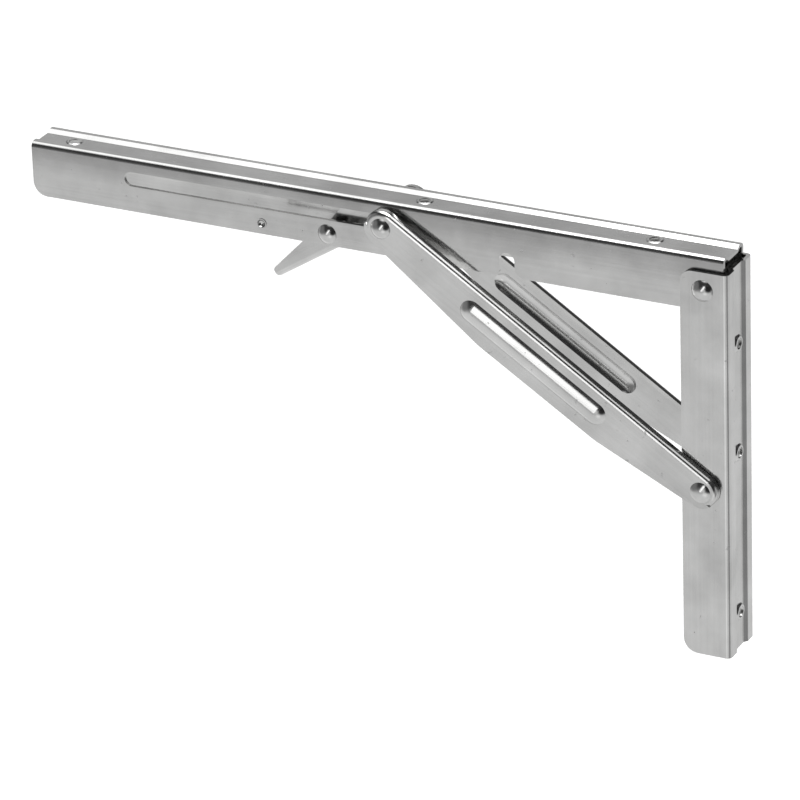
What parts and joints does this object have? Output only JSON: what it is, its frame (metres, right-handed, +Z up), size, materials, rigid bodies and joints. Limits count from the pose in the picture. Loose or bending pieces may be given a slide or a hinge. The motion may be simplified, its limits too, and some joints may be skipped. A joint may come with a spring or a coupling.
{
  "type": "folding shelf bracket",
  "caption": "Folding shelf bracket: a channel arm hinged on a wall channel, held level by a two-plate brace that slides in the arm, with a sprung release lever.",
  "frame": {"origin": "on the wall face, at mid-width, midway between the upper and the lower wall screw", "axes": "+X straight out from the wall along the open arm, +Z up, Y across the bracket"},
  "size_m": [0.3055, 0.0352, 0.1698],
  "materials": {
    "satin_steel": "satin stainless sheet, brushed along its length",
    "polished_steel": "polished stainless rivet heads",
    "plain_steel": "bright turned stainless, unpolished"
  },
  "bodies": {
    "wall": {"wall_channel": "satin_steel", "hinge_rivet": "polished_steel", "hinge_sleeve": "plain_steel", "hinge_washer_left": "plain_steel", "hinge_washer_right": "plain_steel", "foot_rivet": "polished_steel", "foot_sleeve": "plain_steel", "foot_washer_left": "plain_steel", "foot_washer_right": "plain_steel"},
    "arm": {"shelf_arm": "satin_steel", "lever_rivet": "polished_steel", "lever_bush_left": "plain_steel", "lever_bush_right": "plain_steel", "stop_pin": "plain_steel"},
    "brace": {"brace_plate_left": "satin_steel", "brace_plate_right": "satin_steel", "slide_rivet_left": "polished_steel", "slide_rivet_right": "polished_steel", "slide_spacer_left": "plain_steel", "slide_spacer_right": "plain_steel"},
    "slider": {"slide_shoe_left": "plain_steel", "slide_shoe_right": "plain_steel", "shoe_ring_left": "plain_steel", "shoe_ring_right": "plain_steel"},
    "lever": {"release_lever": "satin_steel", "latch_pin": "plain_steel", "return_spring": "plain_steel"}
  },
  "joints": [
    {"name": "arm_fold", "type": "hinge", "parent": "wall", "child": "arm", "pos_m": [0.0106, 0, 0.083], "axis": [0, 1, 0], "range_deg": [0, 88]},
    {"name": "brace_swing", "type": "hinge", "parent": "wall", "child": "brace", "pos_m": [0.0106, 0, -0.0008], "axis": [0, 1, 0], "range_deg": [0, 118.6]},
    {"name": "shoe_slide", "type": "slide", "parent": "arm", "child": "slider", "axis": [1, 0, 0], "range_m": [0, 0.1103]},
    {"name": "lever_squeeze", "type": "hinge", "parent": "arm", "child": "lever", "pos_m": [0.1727, 0, 0.07855], "axis": [0, -1, 0], "range_deg": [0, 30], "stiffness_Nm_per_rad": 0.05, "springref_deg": -28.65, "deforming": ["return_spring"]}
  ],
  "couplings": [
    {"joint": "brace_swing", "follows": "arm_fold", "ratio": 1.3466},
    {"joint": "shoe_slide", "follows": "arm_fold", "m_per_rad": 0.071593}
  ]
}
